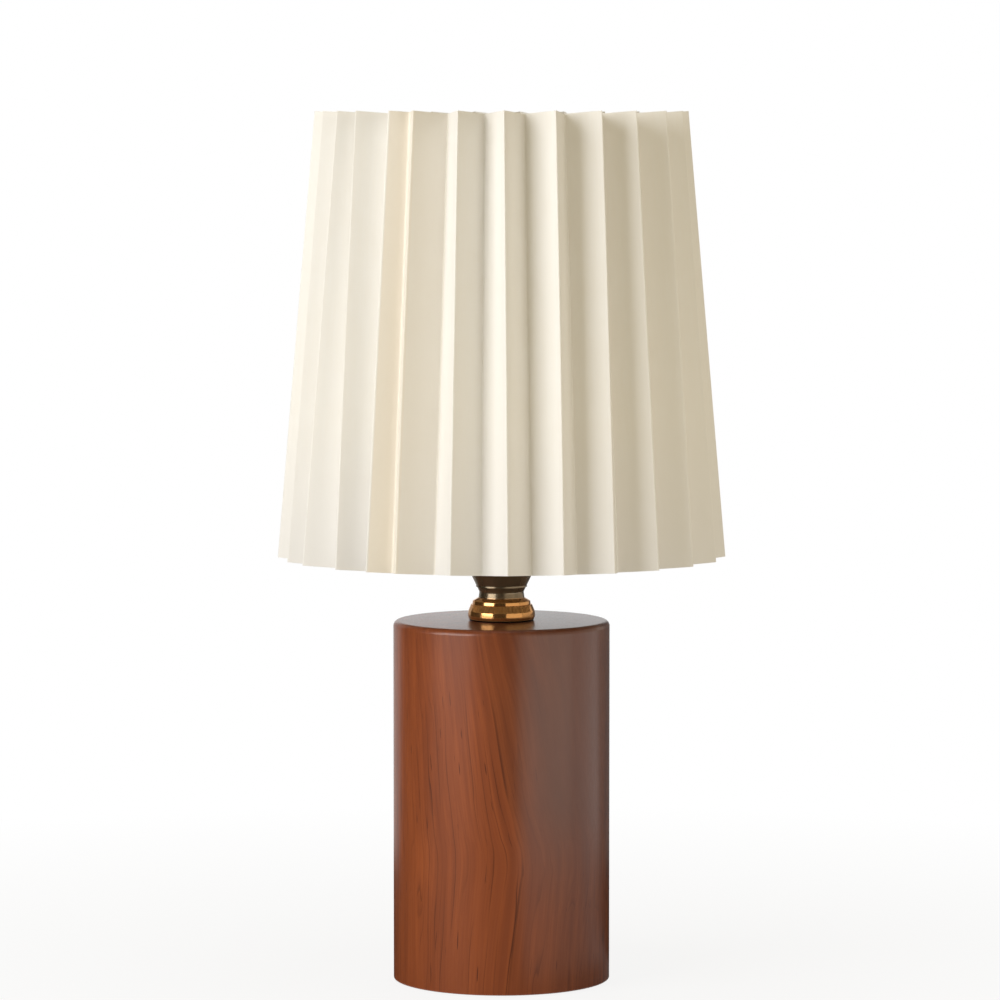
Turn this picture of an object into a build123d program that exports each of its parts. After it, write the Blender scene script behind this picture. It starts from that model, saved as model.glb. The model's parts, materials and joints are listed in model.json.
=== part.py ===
from build123d import *
import os
from math import atan2, cos, radians, sin

# Bedside lamp: a turned wood base, a brass neck, a threaded lamp holder with its bulb,
# and a pleated shade whose fitter ring is clamped between two rings on the holder.
# Millimetres, +Z up, origin at the centre of the underside, front towards -Y.

# Wood base
base_diameter = 77.2
base_height = 128.7
base_top_round = 2.0
base_foot_round = 0.4
well_diameter = 44.0
well_depth = 17.5

# Pad let into the underside of the base
pad_thickness = 2.0
pad_stand = 0.3
pad_margin = 3.6
pad_round = 0.4
pad_clearance = 0.2

# Threaded tube that ties base, neck and lamp holder together
pipe_diameter = 10.0
pipe_wall = 1.0
pipe_clearance = 0.3
pipe_tail = 3.0
pipe_engagement = 7.0
thread_gap = 0.1

# Nuts and washer on the tube
nut_flats = 14.0
base_nut_height = 5.0
neck_nut_height = 3.0
nut_room = 0.6
washer_diameter = 30.0
washer_thickness = 1.5

# Bush where the cord leaves the back of the base
cord_bore = 6.8
bush_wall = 1.3
bush_length = 10.0
bush_flange = 2.2
bush_flange_thickness = 1.8
bush_flange_round = 0.5
bush_sink = 0.4
bush_clearance = 0.1
outlet_height = 10.0

# Brass neck: a foot ring, then a spool with collar, waist, bead and flared cup
foot_height = 5.8
foot_undercut = 0.6
foot_side_height = 3.3
foot_side_draft = 0.2
foot_step = 1.6
foot_ledge = 0.45
collar_height = 2.3
collar_side_height = 1.2
collar_side_draft = 0.12
collar_step = 2.5
collar_ledge = 0.1
waist_diameter = 15.8
waist_height = 2.1
waist_flare = 0.3
bead_rise = 1.7
bead_height = 0.7
bead_crown = 0.18
cup_height = 13.7
cup_rim_diameter = 29.0
cup_wall = 1.4

# Lamp holder: domed cap, skirt, insert and contacts
shell_bore = 26.8
shell_wall = 0.6
shell_height = 25.0
shell_air = 1.5
insert_height = 7.0
insert_ledge = 1.3
insert_clearance = 0.2
skirt_wall = 2.3
skirt_lip = 6.0
skirt_edge_round = 0.8
cap_height = 16.0
cap_side_height = 5.0
cap_dome_rise = 3.0
cap_floor = 2.5
boss_wall = 2.6
boss_height = 8.0
contact_width = 6.0
contact_thickness = 0.8
contact_reach = 8.0
contact_height = 4.0
terminal_spacing = 18.0
terminal_head_diameter = 5.0
terminal_head_height = 1.8
terminal_shank_diameter = 3.0
terminal_shank_length = 5.0
terminal_slot_width = 0.8

# Two rings on the skirt that clamp the shade
ring_flange = 3.6
seat_ring_height = 3.5
seat_ring_rise = 7.0
ring_chamfer = 0.4
clamp_flange_thickness = 1.8
clamp_collar_height = 4.2
clamp_collar_wall = 2.2
clamp_notches = 12
clamp_notch_diameter = 4.0
clamp_notch_depth = 0.9

# Pleated shade
shade_bottom_diameter = 160.0
shade_top_diameter = 133.0
shade_height = 158.0
sheet_thickness = 0.6
pleat_count = 26
seam_steps = (11.0, 12.5, 11.6, 8.7)
seam_direction = -161.0
seam_fold = 0.6
pleat_depth_bottom = 12.2
pleat_depth_top = 13.2

# Wire frame of the shade
fitter_rise = 28.15
fitter_thickness = 1.5
fitter_clearance = 0.8
fitter_overhang = 1.7
ring_wire = 2.6
rib_wire = 2.2
rib_count = 3
rib_direction = 30.0
arm_wire = 2.4
arm_count = 3
arm_direction = 90.0
arm_flat = 9.0
arm_bend = 7.0
ring_inset = 5.0
ring_clearance = 0.3
weld_gap = 0.1

# Bulb with a screw cap and a candle globe
bulb_thread_gap = 0.3
bulb_thread_height = 19.0
bulb_cap_wall = 0.6
bulb_contact_diameter = 9.0
bulb_contact_height = 2.0
insulator_height = 4.0
insulator_step = 1.6
housing_height = 21.0
housing_lip = 0.5
housing_wall = 1.6
globe_diameter = 35.0
globe_height = 57.0
globe_belly_height = 14.0
globe_neck_step = 1.5
globe_shoulder_rise = 20.0
globe_tip_diameter = 6.0
globe_tip_rise = 10.0
globe_wall = 1.2
board_thickness = 1.2
board_clearance = 0.3

# Radii and levels that follow from the sizes above
base_radius = base_diameter / 2
well_radius = well_diameter / 2
pipe_radius = pipe_diameter / 2
pipe_hole_radius = pipe_radius + pipe_clearance
tapped_radius = pipe_radius + thread_gap
nut_corner_radius = nut_flats / 2 / cos(radians(30))

wood_bottom = pad_stand
wood_top = wood_bottom + base_height
well_ceiling = wood_bottom + well_depth
washer_bottom = well_ceiling - washer_thickness
base_nut_bottom = washer_bottom - base_nut_height

spool_bottom = wood_top + foot_height
collar_top = spool_bottom + collar_height
waist_level = collar_top + waist_height
cup_rim = waist_level + cup_height
waist_radius = waist_diameter / 2
collar_radius = waist_radius + collar_step
foot_radius = collar_radius + foot_step
flare_radius = waist_radius + waist_flare
cup_rim_radius = cup_rim_diameter / 2
nut_pocket_radius = nut_corner_radius + nut_room
cup_slope = (cup_rim_radius - waist_radius) / cup_height
cup_floor = waist_level + (nut_pocket_radius + cup_wall - waist_radius) / cup_slope

cap_bottom = cup_rim
cap_top = cap_bottom + cap_height
pipe_bottom = base_nut_bottom - pipe_tail
pipe_top = cap_bottom + pipe_engagement
insert_top = cap_top + insert_height
shell_radius = shell_bore / 2 + shell_wall
skirt_bore_radius = shell_radius + shell_air
insert_radius = skirt_bore_radius + insert_ledge
insert_pocket_radius = insert_radius + insert_clearance
holder_radius = insert_pocket_radius + skirt_wall
skirt_top = insert_top + shell_height + skirt_lip

seat_ring_bottom = cap_top + seat_ring_rise
fitter_bottom = seat_ring_bottom + seat_ring_height
fitter_middle = fitter_bottom + fitter_thickness / 2
clamp_bottom = fitter_bottom + fitter_thickness
ring_bore_radius = holder_radius + thread_gap
ring_outer_radius = ring_bore_radius + ring_flange
fitter_bore_radius = holder_radius + fitter_clearance
fitter_outer_radius = ring_outer_radius + fitter_overhang

shade_bottom = fitter_middle - fitter_rise
shade_top = shade_bottom + shade_height
shade_taper = (shade_bottom_diameter - shade_top_diameter) / 2 / shade_height
bottom_ring_level = shade_bottom + ring_inset
top_ring_level = shade_top - ring_inset

bulb_bottom = insert_top + contact_height
bulb_insulator_bottom = bulb_bottom + bulb_contact_height
bulb_cap_bottom = bulb_insulator_bottom + insulator_height
housing_bottom = bulb_cap_bottom + bulb_thread_height
globe_bottom = housing_bottom + housing_height
bulb_thread_radius = shell_bore / 2 - bulb_thread_gap
globe_radius = globe_diameter / 2
globe_neck_radius = globe_radius - globe_neck_step

# Fold lines of the pleats: the sheet closes on itself at a few narrower pleats
regular_pleats = pleat_count - len(seam_steps)
regular_step = (360 - sum(seam_steps)) / regular_pleats
pleat_steps = list(seam_steps) + [regular_step] * regular_pleats


def polar(radius, angle):
    return (radius * cos(radians(angle)), radius * sin(radians(angle)))


def ridge_at(level):
    return shade_bottom_diameter / 2 - shade_taper * (level - shade_bottom)


def valley_at(level):
    share = (level - shade_bottom) / shade_height
    return ridge_at(level) - pleat_depth_bottom - share * (pleat_depth_top - pleat_depth_bottom)


def fold_skin(fold_radius, other_radius):
    """Radial thickness of the sheet at a fold, from the angle between its two flanks."""
    across = other_radius * sin(radians(regular_step / 2))
    along = abs(fold_radius - other_radius * cos(radians(regular_step / 2)))
    return sheet_thickness / sin(atan2(across, along))


def inner_ridge_at(level):
    return ridge_at(level) - fold_skin(ridge_at(level), valley_at(level))


def inner_valley_at(level):
    return valley_at(level) - fold_skin(valley_at(level), ridge_at(level))


def pleat_outline(ridge_radius, valley_radius):
    """Zigzag outline, a ridge and a valley for each pleat; the last pleat of the seam is shallower."""
    points = []
    angle = seam_direction
    depth = ridge_radius - valley_radius
    for index, step in enumerate(pleat_steps):
        fold = depth * seam_fold if index == len(seam_steps) - 1 else depth
        points.append(polar(ridge_radius, angle))
        points.append(polar(ridge_radius - fold, angle + step / 2))
        angle += step
    return points


def ring_radius_at(level):
    """Centre line of a wire ring that lies in the valleys of the pleats."""
    return inner_valley_at(level) - ring_clearance - ring_wire / 2


bottom_ring_radius = ring_radius_at(bottom_ring_level)
top_ring_radius = ring_radius_at(top_ring_level)

# Wood base: solid cylinder with a tube hole, a well for nut and cord, and the cord outlet
outlet_plane = Plane(origin=(0, base_radius, wood_bottom + outlet_height), z_dir=(0, 1, 0))
bush_radius = cord_bore / 2 + bush_wall
bush_flange_radius = bush_radius + bush_flange
bush_recess = bush_flange_thickness + bush_sink
outlet_hole_radius = bush_radius + bush_clearance
pad_radius = base_radius - pad_margin

with BuildPart() as wood_base:
    with BuildSketch(Plane.XY.offset(wood_bottom)):
        Circle(base_radius)
    extrude(amount=base_height)
    fillet(wood_base.edges().sort_by(Axis.Z)[-1], base_top_round)
    fillet(wood_base.edges().sort_by(Axis.Z)[0], base_foot_round)
    with BuildSketch(Plane.XY.offset(wood_bottom)):
        Circle(pad_radius + pad_clearance)
    extrude(amount=pad_thickness - pad_stand, mode=Mode.SUBTRACT)
    with BuildSketch(Plane.XY.offset(wood_bottom)):
        Circle(well_radius)
    extrude(amount=well_depth, mode=Mode.SUBTRACT)
    with Locations(Plane.XY.offset(wood_top)):
        Hole(pipe_hole_radius)
    with Locations(outlet_plane):
        CounterBoreHole(
            radius=outlet_hole_radius,
            counter_bore_radius=bush_flange_radius + bush_clearance,
            counter_bore_depth=bush_recess,
            depth=base_radius - well_radius + outlet_hole_radius,
        )
wood_base.part.label = "wood_base"

with BuildPart() as base_pad:
    with BuildSketch():
        Circle(pad_radius)
    extrude(amount=pad_thickness)
    fillet(base_pad.edges().sort_by(Axis.Z)[0], pad_round)
base_pad.part.label = "base_pad"

with BuildPart() as cord_bush:
    with BuildSketch(outlet_plane.offset(-bush_recess)):
        Circle(bush_flange_radius)
        Circle(cord_bore / 2, mode=Mode.SUBTRACT)
    extrude(amount=bush_flange_thickness)
    fillet(cord_bush.edges().group_by(Axis.Y)[-1], bush_flange_round)
    with BuildSketch(outlet_plane.offset(-bush_recess)):
        Circle(bush_radius)
        Circle(cord_bore / 2, mode=Mode.SUBTRACT)
    extrude(amount=-bush_length)
cord_bush.part.label = "cord_bush"

# Tube, washer and nuts
with BuildPart() as lamp_pipe:
    with BuildSketch(Plane.XY.offset(pipe_bottom)):
        Circle(pipe_radius)
        Circle(pipe_radius - pipe_wall, mode=Mode.SUBTRACT)
    extrude(amount=pipe_top - pipe_bottom)
lamp_pipe.part.label = "lamp_pipe"

with BuildPart() as pipe_washer:
    with BuildSketch(Plane.XY.offset(washer_bottom)):
        Circle(washer_diameter / 2)
        Circle(pipe_hole_radius, mode=Mode.SUBTRACT)
    extrude(amount=washer_thickness)
pipe_washer.part.label = "pipe_washer"

with BuildPart() as base_nut:
    with BuildSketch(Plane.XY.offset(base_nut_bottom)):
        RegularPolygon(nut_flats / 2, 6, major_radius=False)
        Circle(tapped_radius, mode=Mode.SUBTRACT)
    extrude(amount=base_nut_height)
base_nut.part.label = "base_nut"

with BuildPart() as neck_nut:
    with BuildSketch(Plane.XY.offset(cup_floor)):
        RegularPolygon(nut_flats / 2, 6, major_radius=False)
        Circle(tapped_radius, mode=Mode.SUBTRACT)
    extrude(amount=neck_nut_height)
neck_nut.part.label = "neck_nut"

# Brass neck, turned in two pieces
with BuildPart() as neck_foot:
    with BuildSketch(Plane.XZ):
        with BuildLine():
            Polyline(
                (foot_radius - foot_undercut, wood_top),
                (foot_radius, wood_top + foot_undercut),
                (foot_radius - foot_side_draft, wood_top + foot_side_height),
                (collar_radius + foot_ledge, spool_bottom),
                (pipe_hole_radius, spool_bottom),
                (pipe_hole_radius, wood_top),
                close=True,
            )
        make_face()
    revolve()
neck_foot.part.label = "neck_foot"

with BuildPart() as neck_spool:
    with BuildSketch(Plane.XZ):
        with BuildLine():
            bead_low = (waist_radius + cup_slope * bead_rise, waist_level + bead_rise)
            bead_high = (bead_low[0] + cup_slope * bead_height, bead_low[1] + bead_height)
            bead_edge = ((bead_low[0] + bead_high[0]) / 2 + bead_crown, bead_low[1] + bead_height / 2)
            ThreePointArc(bead_low, bead_edge, bead_high)
            Polyline(
                bead_high,
                (cup_rim_radius, cup_rim),
                (cup_rim_radius - cup_wall, cup_rim),
                (nut_pocket_radius, cup_floor),
                (pipe_hole_radius, cup_floor),
                (pipe_hole_radius, spool_bottom),
                (collar_radius, spool_bottom),
                (collar_radius - collar_side_draft, spool_bottom + collar_side_height),
                (flare_radius + collar_ledge, collar_top),
                (flare_radius, collar_top),
                (waist_radius, waist_level),
                bead_low,
            )
        make_face()
    revolve()
neck_spool.part.label = "neck_spool"

# Lamp holder
with BuildPart() as holder_cap:
    with BuildSketch(Plane.XZ):
        with BuildLine():
            side_bottom = cap_top - cap_side_height
            dome_low = (cup_rim_radius, cap_bottom)
            dome_high = (holder_radius, side_bottom)
            Bezier(dome_low, (holder_radius, cap_bottom + cap_dome_rise), dome_high)
            Polyline(
                dome_high,
                (holder_radius, cap_top),
                (skirt_bore_radius, cap_top),
                (skirt_bore_radius, side_bottom),
                (tapped_radius + boss_wall, cap_bottom + cap_floor),
                (tapped_radius + boss_wall, cap_bottom + boss_height),
                (tapped_radius, cap_bottom + boss_height),
                (tapped_radius, cap_bottom),
                dome_low,
            )
        make_face()
    revolve()
holder_cap.part.label = "holder_cap"

with BuildPart() as holder_skirt:
    with BuildSketch(Plane.XZ):
        with BuildLine():
            Polyline(
                (insert_pocket_radius, cap_top),
                (holder_radius, cap_top),
                (holder_radius, skirt_top),
                (skirt_bore_radius, skirt_top),
                (skirt_bore_radius, insert_top),
                (insert_pocket_radius, insert_top),
                close=True,
            )
        make_face()
    revolve()
    fillet(holder_skirt.edges().group_by(Axis.Z)[-1], skirt_edge_round)
holder_skirt.part.label = "holder_skirt"

with BuildPart() as holder_insert:
    with BuildSketch(Plane.XY.offset(cap_top)):
        Circle(insert_radius)
        with PolarLocations(terminal_spacing / 2, 2):
            Circle(terminal_shank_diameter / 2 + thread_gap, mode=Mode.SUBTRACT)
    extrude(amount=insert_height)
holder_insert.part.label = "holder_insert"

with BuildPart() as screw_shell:
    with BuildSketch(Plane.XY.offset(insert_top)):
        Circle(shell_radius)
        Circle(shell_bore / 2, mode=Mode.SUBTRACT)
    extrude(amount=shell_height)
screw_shell.part.label = "screw_shell"

with BuildPart() as centre_contact:
    with BuildSketch(Plane.XZ):
        with BuildLine():
            leaf_top = insert_top + contact_height
            Polyline(
                (contact_reach, insert_top),
                (contact_reach, insert_top + contact_thickness),
                (contact_width / 2, leaf_top),
                (-contact_width / 2, leaf_top),
                (-contact_width / 2, leaf_top - contact_thickness),
                (contact_width / 2 - contact_thickness, leaf_top - contact_thickness),
                (contact_reach - contact_thickness, insert_top),
                close=True,
            )
        make_face()
    extrude(amount=contact_width / 2, both=True)
centre_contact.part.label = "centre_contact"

with BuildPart() as terminal_screws:
    with BuildSketch(Plane.XY.offset(cap_top)):
        with PolarLocations(terminal_spacing / 2, 2):
            Circle(terminal_head_diameter / 2)
    extrude(amount=-terminal_head_height)
    with BuildSketch(Plane.XY.offset(cap_top)):
        with PolarLocations(terminal_spacing / 2, 2):
            Circle(terminal_shank_diameter / 2)
    extrude(amount=terminal_shank_length)
    with BuildSketch(Plane.XY.offset(cap_top - terminal_head_height)):
        with PolarLocations(terminal_spacing / 2, 2):
            Rectangle(terminal_slot_width, terminal_head_diameter)
    extrude(amount=terminal_head_height / 2, mode=Mode.SUBTRACT)
terminal_screws.part.label = "terminal_screws"

# Rings that hold the shade on the holder
with BuildPart() as shade_seat_ring:
    with BuildSketch(Plane.XY.offset(seat_ring_bottom)):
        Circle(ring_outer_radius)
        Circle(ring_bore_radius, mode=Mode.SUBTRACT)
    extrude(amount=seat_ring_height)
    seat_circles = shade_seat_ring.edges().filter_by(GeomType.CIRCLE)
    chamfer(seat_circles.sort_by(SortBy.RADIUS)[-2:], ring_chamfer)
shade_seat_ring.part.label = "shade_seat_ring"

with BuildPart() as shade_clamp_ring:
    with BuildSketch(Plane.XY.offset(clamp_bottom)):
        Circle(ring_outer_radius)
        Circle(ring_bore_radius, mode=Mode.SUBTRACT)
        notch_centre = ring_outer_radius + clamp_notch_diameter / 2 - clamp_notch_depth
        with PolarLocations(notch_centre, clamp_notches):
            Circle(clamp_notch_diameter / 2, mode=Mode.SUBTRACT)
    extrude(amount=clamp_flange_thickness)
    with BuildSketch(Plane.XY.offset(clamp_bottom + clamp_flange_thickness)):
        Circle(ring_bore_radius + clamp_collar_wall)
        Circle(ring_bore_radius, mode=Mode.SUBTRACT)
    extrude(amount=clamp_collar_height)
    chamfer(shade_clamp_ring.faces().sort_by(Axis.Z)[-1].edges(), ring_chamfer)
shade_clamp_ring.part.label = "shade_clamp_ring"

# Shade: a zigzag sheet, trimmed square to its fold lines at both ends
trim_reach = pleat_depth_bottom + pleat_depth_top
trim_inside = valley_at(shade_top) - trim_reach
trim_outside = shade_bottom_diameter / 2 + trim_reach
sheet_levels = (shade_bottom - trim_reach, shade_top + trim_reach)


def trim_point(radius, level):
    """Point on the cone that meets the ridges square at the given level."""
    return (radius, level - shade_taper * (ridge_at(level) - radius))


with BuildPart() as shade_pleats:
    for level in sheet_levels:
        with BuildSketch(Plane.XY.offset(level)):
            with BuildLine():
                Polyline(*pleat_outline(ridge_at(level), valley_at(level)), close=True)
            make_face()
    loft(ruled=True)
    for level in sheet_levels:
        with BuildSketch(Plane.XY.offset(level)):
            with BuildLine():
                Polyline(*pleat_outline(inner_ridge_at(level), inner_valley_at(level)), close=True)
            make_face()
    loft(ruled=True, mode=Mode.SUBTRACT)
    with BuildSketch(Plane.XZ):
        with BuildLine():
            Polyline(
                trim_point(trim_inside, shade_bottom),
                trim_point(trim_outside, shade_bottom),
                trim_point(trim_outside, shade_top),
                trim_point(trim_inside, shade_top),
                close=True,
            )
        make_face()
    revolve(mode=Mode.INTERSECT)
shade_pleats.part.label = "shade_pleats"

# Wire frame of the shade
with BuildPart() as shade_bottom_ring:
    with BuildSketch(Plane.XZ):
        with Locations((bottom_ring_radius, bottom_ring_level)):
            Circle(ring_wire / 2)
    revolve()
shade_bottom_ring.part.label = "shade_bottom_ring"

with BuildPart() as shade_top_ring:
    with BuildSketch(Plane.XZ):
        with Locations((top_ring_radius, top_ring_level)):
            Circle(ring_wire / 2)
    revolve()
shade_top_ring.part.label = "shade_top_ring"

with BuildPart() as one_rib:
    with BuildLine(Plane.XZ) as rib_line:
        Line((bottom_ring_radius, bottom_ring_level), (top_ring_radius, top_ring_level))
    with BuildSketch(Plane(origin=rib_line.line @ 0, z_dir=rib_line.line % 0)):
        Circle(rib_wire / 2)
    sweep()
    with BuildSketch(Plane.XZ):
        with Locations(
            (bottom_ring_radius, bottom_ring_level),
            (top_ring_radius, top_ring_level),
        ):
            Circle(ring_wire / 2 + weld_gap)
    revolve(mode=Mode.SUBTRACT)

with BuildPart() as shade_ribs:
    with PolarLocations(0, rib_count, start_angle=rib_direction):
        add(one_rib.part)
shade_ribs.part.label = "shade_ribs"

with BuildPart() as fitter_ring:
    with BuildSketch(Plane.XY.offset(fitter_bottom)):
        Circle(fitter_outer_radius)
        Circle(fitter_bore_radius, mode=Mode.SUBTRACT)
    extrude(amount=fitter_thickness)
fitter_ring.part.label = "fitter_ring"

with BuildPart() as one_arm:
    arm_start = fitter_outer_radius + weld_gap
    with BuildLine(Plane.XZ) as arm_line:
        FilletPolyline(
            (arm_start, fitter_middle),
            (arm_start + arm_flat, fitter_middle),
            (bottom_ring_radius, bottom_ring_level),
            radius=arm_bend,
        )
    with BuildSketch(Plane(origin=arm_line.line @ 0, z_dir=arm_line.line % 0)):
        Circle(arm_wire / 2)
    sweep()
    with BuildSketch(Plane.XZ):
        with Locations((bottom_ring_radius, bottom_ring_level)):
            Circle(ring_wire / 2 + weld_gap)
    revolve(mode=Mode.SUBTRACT)

with BuildPart() as fitter_arms:
    with PolarLocations(0, arm_count, start_angle=arm_direction):
        add(one_arm.part)
fitter_arms.part.label = "fitter_arms"

# Bulb, from its tip contact up
with BuildPart() as bulb_contact:
    with BuildSketch(Plane.XY.offset(bulb_bottom)):
        Circle(bulb_contact_diameter / 2)
    extrude(amount=bulb_contact_height)
bulb_contact.part.label = "bulb_contact"

with BuildPart() as bulb_insulator:
    with BuildSketch(Plane.XY.offset(bulb_insulator_bottom)):
        Circle(bulb_contact_diameter / 2 + insulator_step)
    with BuildSketch(Plane.XY.offset(bulb_cap_bottom)):
        Circle(bulb_thread_radius - insulator_step)
    loft()
bulb_insulator.part.label = "bulb_insulator"

with BuildPart() as bulb_cap:
    with BuildSketch(Plane.XY.offset(bulb_cap_bottom)):
        Circle(bulb_thread_radius)
    extrude(amount=bulb_thread_height)
    with BuildSketch(Plane.XY.offset(bulb_cap_bottom + bulb_cap_wall)):
        Circle(bulb_thread_radius - bulb_cap_wall)
    extrude(amount=bulb_thread_height - bulb_cap_wall, mode=Mode.SUBTRACT)
bulb_cap.part.label = "bulb_cap"

with BuildPart() as bulb_housing:
    with BuildSketch(Plane.XZ):
        with BuildLine():
            Polyline(
                (bulb_thread_radius + housing_lip, housing_bottom),
                (globe_neck_radius, globe_bottom),
                (globe_neck_radius - housing_wall, globe_bottom),
                (bulb_thread_radius + housing_lip - housing_wall, housing_bottom),
                close=True,
            )
        make_face()
    revolve()
bulb_housing.part.label = "bulb_housing"

with BuildPart() as led_board:
    with BuildSketch(Plane.XY.offset(globe_bottom)):
        Circle(globe_neck_radius - globe_wall - board_clearance)
    extrude(amount=board_thickness)
led_board.part.label = "led_board"

with BuildPart() as bulb_globe:
    with BuildSketch(Plane.XZ):
        with BuildLine():
            belly_level = globe_bottom + globe_belly_height
            globe_top = globe_bottom + globe_height
            tip_radius = globe_tip_diameter / 2
            tip_level = globe_top - tip_radius
            globe_neck = (globe_neck_radius, globe_bottom)
            globe_belly = (globe_radius, belly_level)
            Bezier(globe_neck, (globe_radius, globe_bottom + globe_belly_height / 2), globe_belly)
            Bezier(
                globe_belly,
                (globe_radius, belly_level + globe_shoulder_rise),
                (tip_radius, tip_level - globe_tip_rise),
                (tip_radius, tip_level),
            )
            RadiusArc((tip_radius, tip_level), (0, globe_top), -tip_radius)
            Polyline((0, globe_top), (0, globe_bottom), globe_neck)
        make_face()
    revolve()
    globe_floor = bulb_globe.faces().sort_by(Axis.Z)[0]
    offset(amount=-globe_wall, openings=globe_floor)
bulb_globe.part.label = "bulb_globe"

pieces = (
    wood_base, base_pad, cord_bush, lamp_pipe, pipe_washer, base_nut,
    neck_foot, neck_spool, neck_nut,
    holder_cap, holder_skirt, holder_insert, screw_shell, centre_contact, terminal_screws,
    shade_seat_ring, shade_clamp_ring,
    shade_pleats, shade_bottom_ring, shade_top_ring, shade_ribs, fitter_ring, fitter_arms,
    bulb_contact, bulb_insulator, bulb_cap, bulb_housing, led_board, bulb_globe,
)
os.makedirs("parts", exist_ok=True)
for piece in pieces:
    export_step(piece.part, f"parts/{piece.part.label}.step")
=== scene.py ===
import json
import math
import random

import bmesh
import bpy
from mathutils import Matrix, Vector


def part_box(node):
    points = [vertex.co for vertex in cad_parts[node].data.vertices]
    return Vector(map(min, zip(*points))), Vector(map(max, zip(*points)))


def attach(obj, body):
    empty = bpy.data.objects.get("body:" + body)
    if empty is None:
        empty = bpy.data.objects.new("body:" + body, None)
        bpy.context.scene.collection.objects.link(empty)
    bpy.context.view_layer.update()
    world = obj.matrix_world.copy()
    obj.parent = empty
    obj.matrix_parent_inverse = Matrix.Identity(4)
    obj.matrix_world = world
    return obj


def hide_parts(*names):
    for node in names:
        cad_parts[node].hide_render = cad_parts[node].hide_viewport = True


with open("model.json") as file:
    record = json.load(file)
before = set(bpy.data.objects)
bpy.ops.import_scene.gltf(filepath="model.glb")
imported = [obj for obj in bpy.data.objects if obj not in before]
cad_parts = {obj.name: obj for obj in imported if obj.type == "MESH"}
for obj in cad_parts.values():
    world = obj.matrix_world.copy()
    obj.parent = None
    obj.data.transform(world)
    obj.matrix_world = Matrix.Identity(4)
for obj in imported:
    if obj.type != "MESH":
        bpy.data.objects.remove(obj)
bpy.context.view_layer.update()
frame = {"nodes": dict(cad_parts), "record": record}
nodes = frame["nodes"]

MM = 0.001


# Number and outline helpers

CORNER_STEPS = 5


def ramp(value, start, end):
    """0 up to start, 1 from end, linear between."""
    return min(1.0, max(0.0, (value - start) / (end - start)))


def between(ends, share):
    """Value at a share of the way from the first end to the second."""
    return ends[0] + (ends[1] - ends[0]) * share


def soft_corner(before, here, after, reach, steps):
    """Points of a curve that rounds off a corner from reach before it to reach after it."""
    start = here + (before - here).normalized() * reach
    end = here + (after - here).normalized() * reach
    points = []
    for step in range(steps + 1):
        t = step / steps
        points.append(start * (1 - t) ** 2 + here * 2 * t * (1 - t) + end * t ** 2)
    return points


def rounded_outline(corners):
    """Points of a closed outline given as (radius, height, round) corners, each corner rounded."""
    points = []
    for index, (radius, height, reach) in enumerate(corners):
        here = Vector((radius, height))
        if reach == 0:
            points.append(here)
            continue
        before = Vector(corners[index - 1][:2])
        after = Vector(corners[(index + 1) % len(corners)][:2])
        points += soft_corner(before, here, after, reach, CORNER_STEPS)
    return points


def run_lengths(points):
    """Distance along a closed row of points, from the first one right round to it again."""
    run = [0.0]
    for here, after in zip(points, points[1:] + points[:1]):
        run.append(run[-1] + (after - here).length)
    return run


# Mesh helpers


def link_mesh(name, builder, material, smooth_angle=None):
    """New object from a bmesh, with one material."""
    mesh = bpy.data.meshes.new(name)
    bmesh.ops.recalc_face_normals(builder, faces=builder.faces)
    builder.to_mesh(mesh)
    builder.free()
    mesh.materials.append(material)
    if smooth_angle is not None:
        mesh.shade_smooth()
        mesh.set_sharp_from_angle(angle=math.radians(smooth_angle))
    piece = bpy.data.objects.new(name, mesh)
    bpy.context.scene.collection.objects.link(piece)
    return piece


def dress(piece, body, slot, *replaced):
    """Ties a piece to its body and hides the nodes it stands for; slot is not used."""
    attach(piece, body)
    if replaced:
        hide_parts(*replaced)


def join_rings(builder, rings):
    """Faces between rings of corners, each ring closed on itself."""
    for low, high in zip(rings, rings[1:]):
        for segment in range(len(low)):
            following = (segment + 1) % len(low)
            builder.faces.new((low[segment], low[following], high[following], high[segment]))


def turn_outline(outline, segments, radius_change=None):
    """bmesh of a closed (radius, height) outline turned about the Z axis."""
    builder = bmesh.new()
    rings = []
    for base_radius, height in outline:
        ring = []
        for segment in range(segments):
            angle = math.tau * segment / segments
            radius = base_radius
            if radius_change:
                radius += radius_change(base_radius, height, angle)
            ring.append(builder.verts.new((radius * math.cos(angle), radius * math.sin(angle), height)))
        rings.append(ring)
    join_rings(builder, rings + rings[:1])
    return builder


# Node helpers. A span is (from, to, value at from, value at to)

# Sockets of the Mix node that serve colours
MIX_FACTOR = 0
MIX_COLOURS = (6, 7)
MIX_RESULT = 2


def calculate(tree, operation, first, second=0.0):
    """Output of a Math node; each term is a socket or a number."""
    node = tree.nodes.new("ShaderNodeMath")
    node.operation = operation
    for socket, term in zip(node.inputs, (first, second)):
        if isinstance(term, (int, float)):
            socket.default_value = term
        else:
            tree.links.new(term, socket)
    return node.outputs[0]


def product(tree, first, *others):
    """Product of sockets and numbers."""
    for term in others:
        first = calculate(tree, "MULTIPLY", first, term)
    return first


def map_range(tree, value, from_low, from_high, to_low, to_high):
    """Output of a clamped linear Map Range."""
    node = tree.nodes.new("ShaderNodeMapRange")
    tree.links.new(value, node.inputs["Value"])
    numbers = {"From Min": from_low, "From Max": from_high, "To Min": to_low, "To Max": to_high}
    for socket, number in numbers.items():
        node.inputs[socket].default_value = number
    return node.outputs["Result"]


def scaled(tree, vector, scale):
    """A vector with each axis multiplied by its own factor."""
    node = tree.nodes.new("ShaderNodeMapping")
    node.inputs["Scale"].default_value = scale
    tree.links.new(vector, node.inputs["Vector"])
    return node.outputs["Vector"]


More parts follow.
